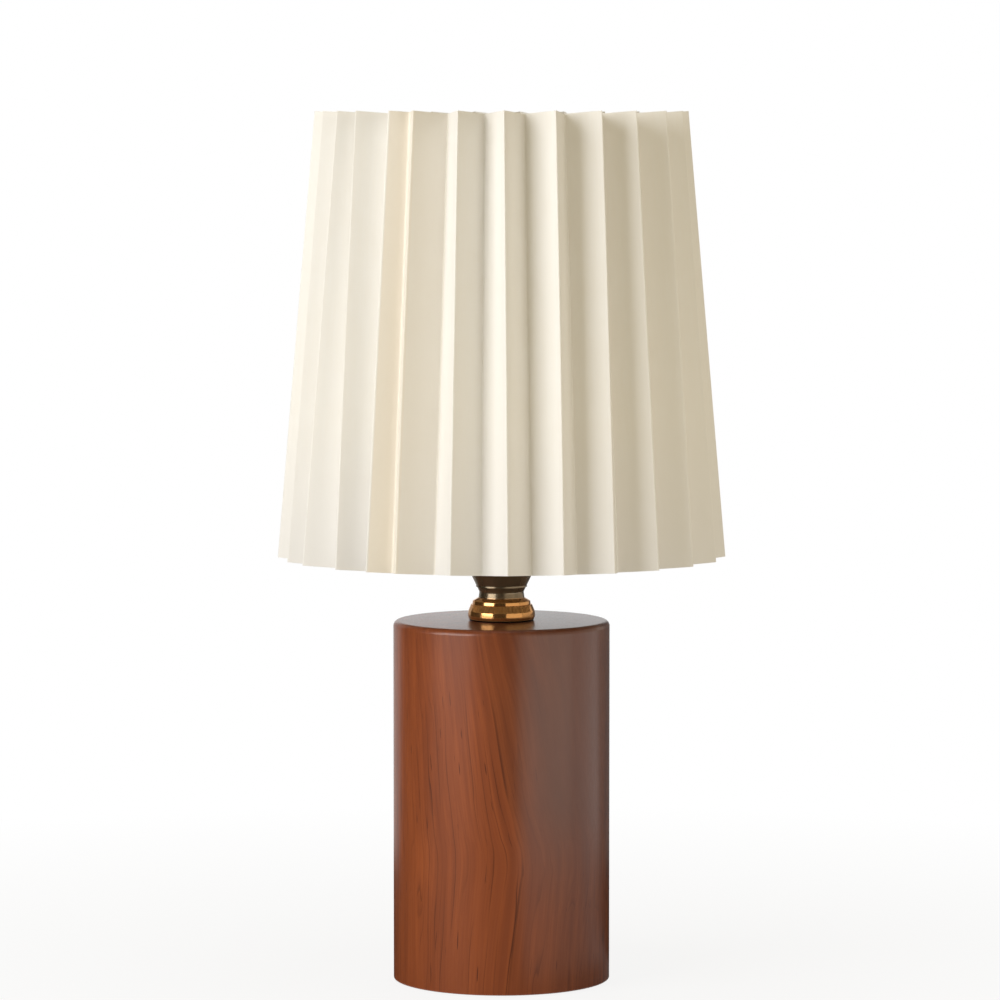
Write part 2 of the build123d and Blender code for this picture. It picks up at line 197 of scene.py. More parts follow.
def coordinates(tree, source="Object", scale=(1, 1, 1)):
    """Object or UV coordinates in millimetres, scaled per axis."""
    place = tree.nodes.new("ShaderNodeTexCoord")
    return scaled(tree, place.outputs[source], [factor / MM for factor in scale])


def split(tree, vector):
    """The three sockets of a vector's parts."""
    node = tree.nodes.new("ShaderNodeSeparateXYZ")
    tree.links.new(vector, node.inputs[0])
    return node.outputs


def noise(tree, vector, size, detail=3.0, roughness=0.55, distortion=0.0):
    """Noise whose features are about size millimetres across."""
    node = tree.nodes.new("ShaderNodeTexNoise")
    node.inputs["Scale"].default_value = 1 / size
    node.inputs["Detail"].default_value = detail
    node.inputs["Roughness"].default_value = roughness
    node.inputs["Distortion"].default_value = distortion
    tree.links.new(vector, node.inputs["Vector"])
    return node.outputs["Fac"]


def mix_colours(tree, factor, first, second):
    """Output of a colour Mix node; each colour is a socket or a tuple."""
    node = tree.nodes.new("ShaderNodeMix")
    node.data_type = "RGBA"
    tree.links.new(factor, node.inputs[MIX_FACTOR])
    for number, colour in zip(MIX_COLOURS, (first, second)):
        if isinstance(colour, tuple):
            node.inputs[number].default_value = (*colour, 1)
        else:
            tree.links.new(colour, node.inputs[number])
    return node.outputs[MIX_RESULT]


def mix_shaders(tree, share, first, second):
    """Shows the first shader where share is 0 and the second where it is 1."""
    node = tree.nodes.new("ShaderNodeMixShader")
    for socket, output in zip(node.inputs, (share, first.outputs[0], second.outputs[0])):
        tree.links.new(output, socket)
    tree.links.new(node.outputs[0], tree.nodes["Material Output"].inputs["Surface"])


def add_bump(tree, shader, height, depth, strength=1.0):
    """Bump from a height of 0 to 1 that stands for depth millimetres."""
    node = tree.nodes.new("ShaderNodeBump")
    node.inputs["Strength"].default_value = strength
    node.inputs["Distance"].default_value = depth * MM
    tree.links.new(height, node.inputs["Height"])
    tree.links.new(node.outputs["Normal"], shader.inputs["Normal"])


def new_surface(name, **settings):
    """Material with a Principled shader, its constant sockets set directly."""
    material = bpy.data.materials.new(name)
    material.use_nodes = True
    tree = material.node_tree
    shader = tree.nodes["Principled BSDF"]
    for socket, value in settings.items():
        shader.inputs[socket.replace("_", " ")].default_value = value
    return material, tree, shader


# Studio, in metres and degrees; an azimuth counts from the front, positive to the right

WHITE = (1.0, 1.0, 1.0)

# Camera, fitted to the overall height and the width of the shade
IMAGE_SIDE_PX = 1000
FOCAL_LENGTH_PX = 4889
AXIS_OFFSET_PX = 1.5
CAMERA_DISTANCE = 1.736
CAMERA_HEIGHT = 0.305
CAMERA_TILT = 4.385
SENSOR_WIDTH = 36.0


def add_camera():
    """Camera at the photograph's viewing angle."""
    data = bpy.data.cameras.new("camera")
    data.sensor_width = SENSOR_WIDTH
    data.lens = SENSOR_WIDTH * FOCAL_LENGTH_PX / IMAGE_SIDE_PX
    camera = bpy.data.objects.new("camera", data)
    bpy.context.scene.collection.objects.link(camera)
    side = -AXIS_OFFSET_PX / FOCAL_LENGTH_PX * CAMERA_DISTANCE
    camera.location = (side, -CAMERA_DISTANCE, CAMERA_HEIGHT)
    camera.rotation_euler = (math.radians(90 - CAMERA_TILT), 0, 0)
    bpy.context.scene.camera = camera


# Light panels as (azimuth, distance, width, low edge, high edge, radiance)
KEY = (-51, 0.72, 0.54, 0.13, 0.90, 3.85)
CARDS = ((46, 0.37, 0.42, 0.0, 0.46, 0.78), (105, 0.37, 0.42, 0.0, 0.46, 0.10))
RIM_CARD = (108, 0.37, 0.44, 0.115, 0.46, 0.55)
BACK_FILL = (178, 0.90, 0.70, 0.05, 0.90, 1.9)
CARD_COLOUR = (1.0, 0.92, 0.80)


def bearing(azimuth, distance, height):
    """Point at an azimuth, a distance from the axis and a height."""
    turn = math.radians(azimuth)
    return Vector((math.sin(turn) * distance, -math.cos(turn) * distance, height))


def add_panel(name, azimuth, distance, width, low, high, radiance, colour=WHITE):
    """Upright soft light facing the lamp's axis, of a given brightness."""
    data = bpy.data.lights.new(name, "AREA")
    data.shape = "RECTANGLE"
    data.size = width
    data.size_y = high - low
    data.energy = radiance * math.pi * width * (high - low)
    data.color = colour
    panel = bpy.data.objects.new(name, data)
    bpy.context.scene.collection.objects.link(panel)
    panel.location = bearing(azimuth, distance, (low + high) / 2)
    panel.rotation_euler = (math.radians(90), 0, math.radians(azimuth))
    panel.visible_camera = False
    return panel


def add_lights():
    """A soft key on the left, pale cards round the right side and a fill at the back."""
    add_panel("key", *KEY)
    for card in CARDS:
        add_panel(f"card_{card[0]}", *card, CARD_COLOUR)
    add_panel("rim_card", *RIM_CARD, CARD_COLOUR).visible_diffuse = False
    add_panel("back_fill", *BACK_FILL).visible_glossy = False


AMBIENT = 0.31
AMBIENT_COLOUR = (1.0, 0.83, 0.46)


def background_rays(tree):
    """1 for camera, glossy and transmission rays, which see the white background, else 0."""
    path = tree.nodes.new("ShaderNodeLightPath")
    total = path.outputs["Is Camera Ray"]
    for ray in ("Is Glossy Ray", "Is Transmission Ray"):
        total = calculate(tree, "MAXIMUM", total, path.outputs[ray])
    return total


def add_world():
    """White background, and a lower, warmer even light on the object."""
    world = bpy.data.worlds.new("studio")
    world.use_nodes = True
    tree = world.node_tree
    background = tree.nodes["Background"]
    seen = background_rays(tree)
    tree.links.new(mix_colours(tree, seen, AMBIENT_COLOUR, WHITE), background.inputs["Color"])
    tree.links.new(map_range(tree, seen, 0, 1, AMBIENT, 1), background.inputs["Strength"])
    bpy.context.scene.world = world


FLOOR_REACH = 6.0
FLOOR_DROP = 0.1 * MM
FLOOR_COLOUR = (0.68, 0.68, 0.68, 1)
FLOOR_WHITE_SHARE = (0.08, 0.45, 0.87, 1)


def floor_material():
    """Pale floor that shows white, with the object's shadow still in it."""
    material, tree, principled = new_surface("floor")
    tree.nodes.remove(principled)
    pale = tree.nodes.new("ShaderNodeBsdfDiffuse")
    pale.inputs["Color"].default_value = FLOOR_COLOUR
    place = tree.nodes.new("ShaderNodeTexCoord")
    away = tree.nodes.new("ShaderNodeVectorMath")
    away.operation = "LENGTH"
    tree.links.new(place.outputs["Object"], away.inputs[0])
    share = product(tree, background_rays(tree), map_range(tree, away.outputs["Value"], *FLOOR_WHITE_SHARE))
    mix_shaders(tree, share, pale, tree.nodes.new("ShaderNodeEmission"))
    return material


def add_floor():
    """Large flat floor under the lamp."""
    builder = bmesh.new()
    bmesh.ops.create_grid(builder, x_segments=1, y_segments=1, size=FLOOR_REACH)
    floor = link_mesh("floor", builder, floor_material())
    floor.location.z = -FLOOR_DROP


# Sectors covered by the dark cards, as (start, softness, end, softness, cover) and without the cover
FLAG_SECTORS = (
    (-160, 8, -132, 4, 0.55), (-132, 4, -79, 11, 1.0), (-30, 1.5, 15, 16, 1.0), (126, 8, 165, 8, 0.88),
)
WALL_SECTOR = (19, 6, 135, 15)
KEY_SECTOR = (-75, -29)
CARD_SECTOR = (19, 165)

# How far out the floor is covered: distances where the cover starts to fall and where it ends
KEY_FLOOR_REACH = (1.00, 1.40)
NEAR_FLOOR_REACH = (0.27, 0.42)
CLOSE_FLOOR_REACH = (0.065, 0.13)
CLOSE_FLOOR_COVER = 0.9
CARD_FLOOR_COVER = (0.6, 1.0)
CARD_FLOOR_TURN = (100, 126)

# Rings of the dark cards round the base, closer together where the cover changes
FLAG_GAP = 0.2 * MM
FLAG_RADII = (
    0.065, 0.085, 0.13, 0.15, 0.24, 0.27, 0.30, 0.33, 0.36, 0.39, 0.42,
    0.60, 0.80, 1.00, 1.10, 1.20, 1.30, 1.40, 1.60,
)
FLAG_LIFT = 0.5 * MM
FLAG_STEP = 1.5
WALL_LEVELS = (0.05, 1.8)
FLAG_COLOUR = (0.02, 0.02, 0.02, 1)


def sector_cover(azimuth, start, start_soft, end, end_soft):
    """1 inside a sector, falling to 0 over its soft sides."""
    return ramp(azimuth, start - start_soft, start) * (1 - ramp(azimuth, end, end + end_soft))


def floor_cover(azimuth, distance):
    """How far the dark cards cover the floor at a place."""
    cover = max(most * sector_cover(azimuth, *sector) for *sector, most in FLAG_SECTORS)
    in_key = KEY_SECTOR[0] < azimuth < KEY_SECTOR[1]
    near = 1 - ramp(distance, *(KEY_FLOOR_REACH if in_key else NEAR_FLOOR_REACH))
    if CARD_SECTOR[0] < azimuth < CARD_SECTOR[1]:
        near *= between(CARD_FLOOR_COVER, ramp(azimuth, *CARD_FLOOR_TURN))
        near = max(near, CLOSE_FLOOR_COVER * (1 - ramp(distance, *CLOSE_FLOOR_REACH)))
    return max(cover, near)


def flag_material():
    """Dark card, clear where its cover falls off."""
    material, tree, shader = new_surface("flag", Base_Color=FLAG_COLOUR, Specular_IOR_Level=0)
    cover = tree.nodes.new("ShaderNodeAttribute")
    cover.attribute_name = "cover"
    mix_shaders(tree, cover.outputs["Fac"], tree.nodes.new("ShaderNodeBsdfTransparent"), shader)
    return material


def add_flags():
    """Dark cards round the set, on the floor and upright, that only reflections see."""
    builder = bmesh.new()
    cover = builder.verts.layers.float.new("cover")
    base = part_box("wood_base")[1].x + FLAG_GAP
    places = [(radius, FLAG_LIFT) for radius in (base, *FLAG_RADII)]
    places += [(FLAG_RADII[-1], level) for level in WALL_LEVELS]
    columns = []
    for step in range(round(360 / FLAG_STEP) + 1):
        azimuth = -180 + FLAG_STEP * step
        column = []
        for radius, height in places:
            corner = builder.verts.new(bearing(azimuth, radius, height))
            corner[cover] = floor_cover(azimuth, radius)
            if height > FLAG_LIFT:
                corner[cover] = max(corner[cover], sector_cover(azimuth, *WALL_SECTOR))
            column.append(corner)
        columns.append(column)
    for left, right in zip(columns, columns[1:]):
        for row in range(len(places) - 1):
            corners = (left[row], right[row], right[row + 1], left[row + 1])
            if any(corner[cover] > 0 for corner in corners):
                builder.faces.new(corners)
    flags = link_mesh("flags", builder, flag_material())
    flags.visible_camera = False
    flags.visible_diffuse = False
    flags.visible_transmission = False
    flags.visible_shadow = False


# Wood, in millimetres

WOOD_LIGHT = (0.375, 0.094, 0.026)
WOOD_MIDDLE = (0.225, 0.053, 0.017)
WOOD_HEART = (0.102, 0.028, 0.0103)
WOOD_HEART_EVEN = (0.124, 0.035, 0.0125)
WOOD_HEART_LIGHT = (0.150, 0.043, 0.0155)
WOOD_DARK = (0.070, 0.017, 0.007)

# Sideways drift of the grain as (height, drift), less of it at the left, with a slow wander
GRAIN_DRIFT = (
    (0, 2.7), (24, 4.4), (37, 5.7), (47, 6.5), (57, 4.7),
    (70, 1.8), (86, -0.9), (101, -3.3), (122, -8.0), (130, -9.8),
)
DRIFT_RANGE = (-10, 10)
DRIFT_SHARE = (-34, 2, 0.3, 1)
WANDER_SIZE = 30
WANDER_STRETCH = (1, 1, 0.25)
WANDER = (0.2, 0.8, -1.6, 1.6)

# Noises drawn out along the timber, as (stretch, size, detail, roughness)
RING_SWELL_NOISE = (0.07, 16, 2.0, 0.55)
RING_RIPPLE_NOISE = (0.10, 4, 1.0, 0.55)
LINE_FADE_NOISE = (0.06, 3.5, 1.0, 0.55)
HEART_FADE_NOISE = (0.3, 6, 1.0, 0.55)
STREAK_NOISE = (0.02, 2.7, 2.0, 0.45)
FIBRE_NOISE = (0.02, 0.6, 3.0, 0.55)
CLOUD_NOISE = (0.12, 9, 2.0, 0.55)
PORE_NOISE = (0.045, 0.55, 0.0, 0.55)

# Growth rings round the heart of the tree, and lines on them as (lines in a ring, strength, reach)
HEART_PLACE = (-120, 30, 0)
RING_WIDTH = 3.6
RING_SWELL = (0.2, 0.8, -1.1, 1.1)
RING_RIPPLE = (0.2, 0.8, -0.28, 0.28)
BOLD_LINES = (1.0, 1.25, 0.17)
FINE_LINES = (2.7, 0.45, 0.25)
LINE_CREST = 0.97
LINE_FADE = (0.33, 0.56, 0, 1)

# Heartwood by place across; at each end of the timber it thins by height and is partly kept by place across
HEART_EDGE = (-0.3, 0.4, 0, 0.26)
HEART_DEEPER = (-6, 16, 0, 0.62)
HEART_ENDS = (
    ((28, 66, 1, 0), (10, 28, 0.42, 0.72)),
    ((100, 122, 0, 0.7), (8, 24, 0.45, 1)),
)
HEART_LINE_RISE = (-0.5, 0.0, 0, 1)
HEART_LINE_FALL = (0.0, 0.7, 1, 0)
HEART_LINE_FADE = (0.35, 0.65, 0.1, 0.75)

# Calm grain at the upper right of the front, and weaker lines near the top
CALM_ACROSS = (4, 18, 0, 1)
CALM_HEIGHT = (30, 58, 0, 0.9)
CALM_DEPTH = (-20, -6, 1, 0.1)
WEAK_HEIGHT = (84, 116, 1, 0.4)

# Tones, pores and gloss
STREAK_SHARE = 0.9
CLOUD_SHARE = 0.7
BAND_TONE = (0.56, 1.09, 0.04, 0.96)
FIBRE_TONE = (0.35, 0.75, 0.06, 0.5)
HEART_BAND_TONE = (0.62, 1.0, 0, 1)
HEART_FIBRE_TONE = (0.4, 0.75, 0, 0.4)
PORES = (0.785, 0.84, 0, 0.8)
WOOD_ROUGHNESS = (0.3, 0.7, 0.42, 0.55)
WOOD_RELIEF = 0.02


def grain_drift(tree, height):
    """How far the grain has moved sideways at a height."""
    low, high = DRIFT_RANGE
    tallest = GRAIN_DRIFT[-1][0]
    places = [(level / tallest, (drift - low) / (high - low)) for level, drift in GRAIN_DRIFT]
    node = tree.nodes.new("ShaderNodeFloatCurve")
    curve = node.mapping.curves[0]
    curve.points[0].location = places[0]
    curve.points[1].location = places[-1]
    for place in places[1:-1]:
        curve.points.new(*place)
    node.mapping.update()
    tree.links.new(calculate(tree, "DIVIDE", height, tallest), node.inputs["Value"])
    return map_range(tree, node.outputs["Value"], 0, 1, low, high)


def grain_space(tree):
    """Position in the timber with the grain's drift taken out, and the parts of the plain position."""
    across, deep, height = split(tree, coordinates(tree))
    wander = noise(tree, coordinates(tree, scale=WANDER_STRETCH), WANDER_SIZE, detail=1.0)
    drift = product(tree, grain_drift(tree, height), map_range(tree, across, *DRIFT_SHARE))
    shift = calculate(tree, "ADD", drift, map_range(tree, wander, *WANDER))
    place = tree.nodes.new("ShaderNodeCombineXYZ")
    parts = (calculate(tree, "SUBTRACT", across, shift), deep, height)
    for part, socket in zip(parts, place.inputs):
        tree.links.new(part, socket)
    return place.outputs[0], (across, deep, height)


def grain_noise(tree, place, stretch, size, detail, roughness):
    """Noise drawn out along the timber."""
    return noise(tree, scaled(tree, place, (1, 1, stretch)), size, detail, roughness)


def growth_rings(tree, place):
    """Count of growth rings out from the heart of the tree."""
    away = tree.nodes.new("ShaderNodeVectorMath")
    away.operation = "DISTANCE"
    tree.links.new(scaled(tree, place, (1, 1, 0)), away.inputs[0])
    away.inputs[1].default_value = HEART_PLACE
    count = calculate(tree, "DIVIDE", away.outputs["Value"], RING_WIDTH)
    for texture, span in ((RING_RIPPLE_NOISE, RING_RIPPLE), (RING_SWELL_NOISE, RING_SWELL)):
        count = calculate(tree, "ADD", count, map_range(tree, grain_noise(tree, place, *texture), *span))
    return count


def ring_lines(tree, rings, place, fineness, share, reach):
    """Thin dark lines along the rings, each of its own strength, that reach inwards and fade in and out."""
    count = product(tree, rings, fineness)
    step = calculate(tree, "FRACT", count)
    own = tree.nodes.new("ShaderNodeTexWhiteNoise")
    own.noise_dimensions = "1D"
    tree.links.new(calculate(tree, "FLOOR", count), own.inputs["W"])
    rise = calculate(tree, "POWER", map_range(tree, step, LINE_CREST - reach, LINE_CREST, 0, 1), 2)
    fall = map_range(tree, step, LINE_CREST, 1, 1, 0)
    fade = map_range(tree, grain_noise(tree, place, *LINE_FADE_NOISE), *LINE_FADE)
    return calculate(tree, "MINIMUM", product(tree, rise, fall, fade, own.outputs["Value"], share), 1)


def heart_share(tree, inward, height):
    """Share of the darker heartwood, which starts at one slanting ring and thins out at both ends."""
    edge = map_range(tree, inward, *HEART_EDGE)
    total = calculate(tree, "ADD", edge, map_range(tree, inward, *HEART_DEEPER))
    for levels, places in HEART_ENDS:
        lost = calculate(tree, "SUBTRACT", 1, map_range(tree, inward, *places))
        lost = product(tree, lost, map_range(tree, height, *levels))
        total = product(tree, total, calculate(tree, "SUBTRACT", 1, lost))
    return total


def heart_line(tree, inward, place):
    """Dark line where the heartwood starts, stronger in some places."""
    rise = map_range(tree, inward, *HEART_LINE_RISE)
    fall = map_range(tree, inward, *HEART_LINE_FALL)
    fade = map_range(tree, grain_noise(tree, place, *HEART_FADE_NOISE), *HEART_LINE_FADE)
    return product(tree, rise, fall, fade)


def grain_lines(tree, place, inward):
    """All the dark lines of the grain."""
    rings = growth_rings(tree, place)
    lines = heart_line(tree, inward, place)
    for kind in (BOLD_LINES, FINE_LINES):
        lines = calculate(tree, "MAXIMUM", lines, ring_lines(tree, rings, place, *kind))
    return lines


def wood_tones(tree, place, inward, height, fibres, shown):
    """Colour of the wood before its lines: streaked outer wood and heartwood."""
    streaks = product(tree, grain_noise(tree, place, *STREAK_NOISE), STREAK_SHARE)
    clouds = product(tree, grain_noise(tree, place, *CLOUD_NOISE), CLOUD_SHARE)
    band = calculate(tree, "ADD", streaks, clouds)
    outer = mix_colours(tree, map_range(tree, band, *BAND_TONE), WOOD_LIGHT, WOOD_MIDDLE)
    outer = mix_colours(tree, map_range(tree, fibres, *FIBRE_TONE), outer, WOOD_MIDDLE)
    streaked = mix_colours(tree, map_range(tree, band, *HEART_BAND_TONE), WOOD_HEART_LIGHT, WOOD_HEART)
    streaked = mix_colours(tree, map_range(tree, fibres, *HEART_FIBRE_TONE), streaked, WOOD_HEART)
    heart = mix_colours(tree, shown, WOOD_HEART_EVEN, streaked)
    return mix_colours(tree, heart_share(tree, inward, height), outer, heart)


def wood_material():
    """Reddish brown hardwood, upright grain, under a clear satin varnish."""
    material, tree, shader = new_surface(
        "varnished_wood", Coat_Weight=0.85, Coat_Roughness=0.24, Specular_IOR_Level=0.22
    )
    place, (across, deep, height) = grain_space(tree)
    inward = split(tree, place)[0]
    calm = [
        map_range(tree, part, *span)
        for part, span in ((across, CALM_ACROSS), (height, CALM_HEIGHT), (deep, CALM_DEPTH))
    ]
    shown = calculate(tree, "SUBTRACT", 1, product(tree, *calm))
    strength = product(tree, shown, map_range(tree, height, *WEAK_HEIGHT))
    fibres = grain_noise(tree, place, *FIBRE_NOISE)
    colour = wood_tones(tree, place, inward, height, fibres, shown)
    colour = mix_colours(tree, product(tree, grain_lines(tree, place, inward), strength), colour, WOOD_DARK)
    pores = map_range(tree, grain_noise(tree, place, *PORE_NOISE), *PORES)
    pores = product(tree, pores, strength)
    tree.links.new(mix_colours(tree, pores, colour, WOOD_DARK), shader.inputs["Base Color"])
    tree.links.new(map_range(tree, fibres, *WOOD_ROUGHNESS), shader.inputs["Roughness"])
    add_bump(tree, shader, calculate(tree, "SUBTRACT", fibres, pores), WOOD_RELIEF)
    return material


# Brass of the neck, in millimetres; from just under the collar's top edge upwards it is darker, partly patina
# and partly painted shade

BRASS_BRIGHT = (0.88, 0.44, 0.155)
BRASS_DULL = (0.64, 0.32, 0.12)
# Darker colour above the collar: partly patina, partly painted shade where the lampshade shades the upper
# spool
BRASS_AGED_AND_SHADED = (0.24, 0.195, 0.130)
# Painted contact shadow: near-black colour on the lowest part of the foot, where it sits on the wood
BRASS_CONTACT_SHADOW = (0.012, 0.009, 0.007)
PATCH_SIZE = 6
DULL_PATCHES = (0.45, 0.75, 0, 0.6)
# Heights about the collar's top over which the darker top, patina and painted shade, fades in
AGED_AND_SHADED_EDGE = (-0.2, 0.3)
AGED_AND_SHADED_PATCHES = (0.3, 0.7, 1, 0.88)
AGED_ROUGHNESS = 0.14
# Heights above the foot's underside over which the painted contact shadow fades out
CONTACT_SHADOW_EDGE = (0.45, 0.80)
BRASS_METALLIC = (0, 1, 0.84, 0.70)
BRASS_ROUGHNESS = (0.3, 0.75, 0.08, 0.16)
TURNING_MARK_SIZE = 0.25
TURNING_MARK_STRETCH = (0.05, 0.05, 1)
TURNING_MARK_DEPTH = 0.002


def brass_material():
    """Polished brass with faint turning marks, darker above the collar from patina and painted shade, with a
    painted contact shadow where it meets the wood.
    """
    material, tree, shader = new_surface("aged_brass")
    height = split(tree, coordinates(tree))[2]
    foot_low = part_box("neck_foot")[0].z / MM
    collar_top = (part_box("neck_spool")[0].z + COLLAR_HEIGHT) / MM
    patches = noise(tree, coordinates(tree), PATCH_SIZE, detail=4.0)
    colour = mix_colours(tree, map_range(tree, patches, *DULL_PATCHES), BRASS_BRIGHT, BRASS_DULL)
    # Share of the darker top: patina and painted shade under the lampshade
    patina_and_shade = map_range(tree, height, *(collar_top + edge for edge in AGED_AND_SHADED_EDGE), 0, 1)
    patina_and_shade = product(tree, patina_and_shade, map_range(tree, patches, *AGED_AND_SHADED_PATCHES))
    # Painted contact shadow along the lowest edge of the foot: this share is 0 there and 1 above it
    unshadowed = map_range(tree, height, *(foot_low + edge for edge in CONTACT_SHADOW_EDGE), 0, 1)
    colour = mix_colours(tree, patina_and_shade, colour, BRASS_AGED_AND_SHADED)
    rough = map_range(tree, patches, *BRASS_ROUGHNESS)
    rough = calculate(tree, "ADD", rough, product(tree, patina_and_shade, AGED_ROUGHNESS))
    metallic = product(tree, unshadowed, map_range(tree, patina_and_shade, *BRASS_METALLIC))
    tree.links.new(mix_colours(tree, unshadowed, BRASS_CONTACT_SHADOW, colour), shader.inputs["Base Color"])
    tree.links.new(metallic, shader.inputs["Metallic"])
    tree.links.new(rough, shader.inputs["Roughness"])
    marks = noise(tree, coordinates(tree, scale=TURNING_MARK_STRETCH), TURNING_MARK_SIZE, detail=2.0)
    add_bump(tree, shader, marks, TURNING_MARK_DEPTH, strength=0.5)
    return material


# Cloth of the shade, in millimetres

SHEET_CREAM = (0.905, 0.893, 0.868)
SHEET_WARM = (0.890, 0.866, 0.824)
# Painted shade: a greyer colour that the cloth takes on towards its lower edge
SHEET_HEM_SHADE = (0.850, 0.840, 0.832)
# Warmer tone at the glued lap: partly the double layer, partly painted warm light passed through and bounced
# between the pleats
SHEET_LAP_AND_BOUNCE = (0.900, 0.852, 0.775)
SHEET_TONE = (0.40, 0.62, 0, 0.45)
HEM_SHADE_REACH = 52
LAP_SOFT = 0.6
# Share of the painted warm bounce light kept on the flank behind the lap
LAP_BOUNCE_BEHIND = 0.55
THREAD_PITCH = 0.42
THREAD_HEIGHT = 0.5
SLUB_SIZE = 0.9
SLUB_STRETCH = (1, 0.06, 1)
CLOTH_CLOUD_SIZE = 14
CLOTH_RELIEF = 0.03


def lap_span():
    """Start and end of the glued pleat along the sheet, and the end of the flank behind it."""
    outline = sheet_outline(0, pleat_folds(), [(0, 0, 0)] * 2 * PLEAT_COUNT)
    columns = len(outline) // (2 * PLEAT_COUNT)
    run = [length / MM for length in run_lengths(outline)]
    start = 2 * SEAM_PLEAT * columns + CREASE_STEPS // 2
    return run[start], run[start + 2 * columns], run[start + 3 * columns]


def lap_and_bounce_share(tree, along):
    """Share of the warmer tone where the sheet is glued double, partly painted warm light passed through and
    bounced between the pleats, weaker on the flank behind it.
    """
    start, end, flank = lap_span()
    inside = map_range(tree, along, start, start + LAP_SOFT, 0, 1)
    behind = map_range(tree, along, end, end + LAP_SOFT, 1, LAP_BOUNCE_BEHIND)
    past = map_range(tree, along, flank, flank + LAP_SOFT, 1, 0)
    return product(tree, inside, behind, past)


def sheet_material():
    """Cream cloth on a stiff film: plain weave, slight slubs, warmer at the lap with painted bounce light,
    and greyer towards the hem as painted shade.
    """
    material, tree, shader = new_surface(
        "pleated_cloth", Roughness=0.72, Sheen_Weight=0.15, Sheen_Roughness=0.5, Specular_IOR_Level=0.3
    )
    along, up, _ = split(tree, coordinates(tree, "UV"))
    weave = product(
        tree,
        *(calculate(tree, "SINE", product(tree, part, math.tau / THREAD_PITCH)) for part in (along, up)),
        THREAD_HEIGHT,
    )
    slubs = noise(tree, coordinates(tree, "UV", scale=SLUB_STRETCH), SLUB_SIZE, detail=2.0)
    cloud = noise(tree, coordinates(tree), CLOTH_CLOUD_SIZE)
    tone = calculate(tree, "DIVIDE", calculate(tree, "ADD", slubs, cloud), 2)
    colour = mix_colours(tree, map_range(tree, tone, *SHEET_TONE), SHEET_CREAM, SHEET_WARM)
    # Painted shade, greyer towards the lower edge
    colour = mix_colours(tree, map_range(tree, up, 0, HEM_SHADE_REACH, 1, 0), colour, SHEET_HEM_SHADE)
    # Warmer lap: double layer and painted bounce light
    colour = mix_colours(tree, lap_and_bounce_share(tree, along), colour, SHEET_LAP_AND_BOUNCE)
    tree.links.new(colour, shader.inputs["Base Color"])
    add_bump(tree, shader, calculate(tree, "ADD", weave, slubs), CLOTH_RELIEF, strength=0.35)
    return material


# Other finishes, in millimetres

# Moulded and coated ones by slot: name, base colour, specks, speck size, grain depth, roughness
SPECKLED = {
    "bush": ("rubber", (0.022, 0.022, 0.024), (0.036, 0.036, 0.038), 0.8, 0.02, 0.62),
    "holder": ("moulded_black", (0.016, 0.016, 0.017), (0.024, 0.024, 0.025), 1.2, 0.01, 0.28),
    "insert": ("ceramic", (0.72, 0.70, 0.64), (0.66, 0.63, 0.56), 1.0, 0.03, 0.55),
    "frame_wire": ("powder_coat", (0.84, 0.82, 0.77), (0.80, 0.78, 0.72), 0.6, 0.03, 0.45),
    "bulb_black": ("black_glass", (0.020, 0.020, 0.022), (0.030, 0.028, 0.030), 1.5, 0.01, 0.12),
    "bulb_white": ("moulded_white", (0.83, 0.83, 0.81), (0.80, 0.80, 0.77), 1.5, 0.01, 0.35),
    "board": ("board", (0.80, 0.80, 0.76), (0.74, 0.74, 0.69), 0.8, 0.02, 0.5),
    "opal": ("opal", (0.88, 0.87, 0.83), (0.85, 0.84, 0.79), 4.0, 0.005, 0.30),
}
OPAL_DEPTH = {"Subsurface_Weight": 0.25, "Subsurface_Radius": (4 * MM, 4 * MM, 3 * MM)}
SPECK_TONE = (0.4, 0.7, 0, 1)
GRAIN_TO_SPECK = 1 / 3

# Metals by slot: name, base colour, dull patches, stretch of the marks, least and most roughness
BRUSHED = {
    "zinc_steel": ("zinc_steel", (0.62, 0.62, 0.60), (0.50, 0.50, 0.47), (1, 1, 0.1), (0.25, 0.40)),
    "contact_brass": ("contact_brass", (0.72, 0.53, 0.22), (0.60, 0.42, 0.16), (1, 1, 0.1), (0.18, 0.30)),
    "nickel": ("nickel", (0.70, 0.69, 0.66), (0.60, 0.59, 0.55), (0.1, 0.1, 1), (0.16, 0.26)),
}
BRUSH_MARK_SIZE = 0.3
BRUSH_MARK_DEPTH = 0.006
BRUSH_PATCH_SIZE = 5
BRUSH_PATCHES = (0.4, 0.7, 0, 0.7)
BRUSH_MARKS = (0.3, 0.7)

FELT_DARK = (0.028, 0.028, 0.031)
FELT_PALE = (0.085, 0.085, 0.090)
FELT_FIBRE_SIZE = 0.5
FELT_FIBRES = (0.3, 0.7, 0, 1)
FELT_RELIEF = 0.25


def speckled_material(name, base, speck, size, grain_depth, roughness, **settings):
    """Moulded or coated surface: two near colours in fine specks, with a grain."""
    material, tree, shader = new_surface(name, Roughness=roughness, **settings)
    place = coordinates(tree)
    specks = map_range(tree, noise(tree, place, size, detail=4.0), *SPECK_TONE)
    tree.links.new(mix_colours(tree, specks, base, speck), shader.inputs["Base Color"])
    add_bump(tree, shader, noise(tree, place, size * GRAIN_TO_SPECK, detail=2.0), grain_depth)
    return material


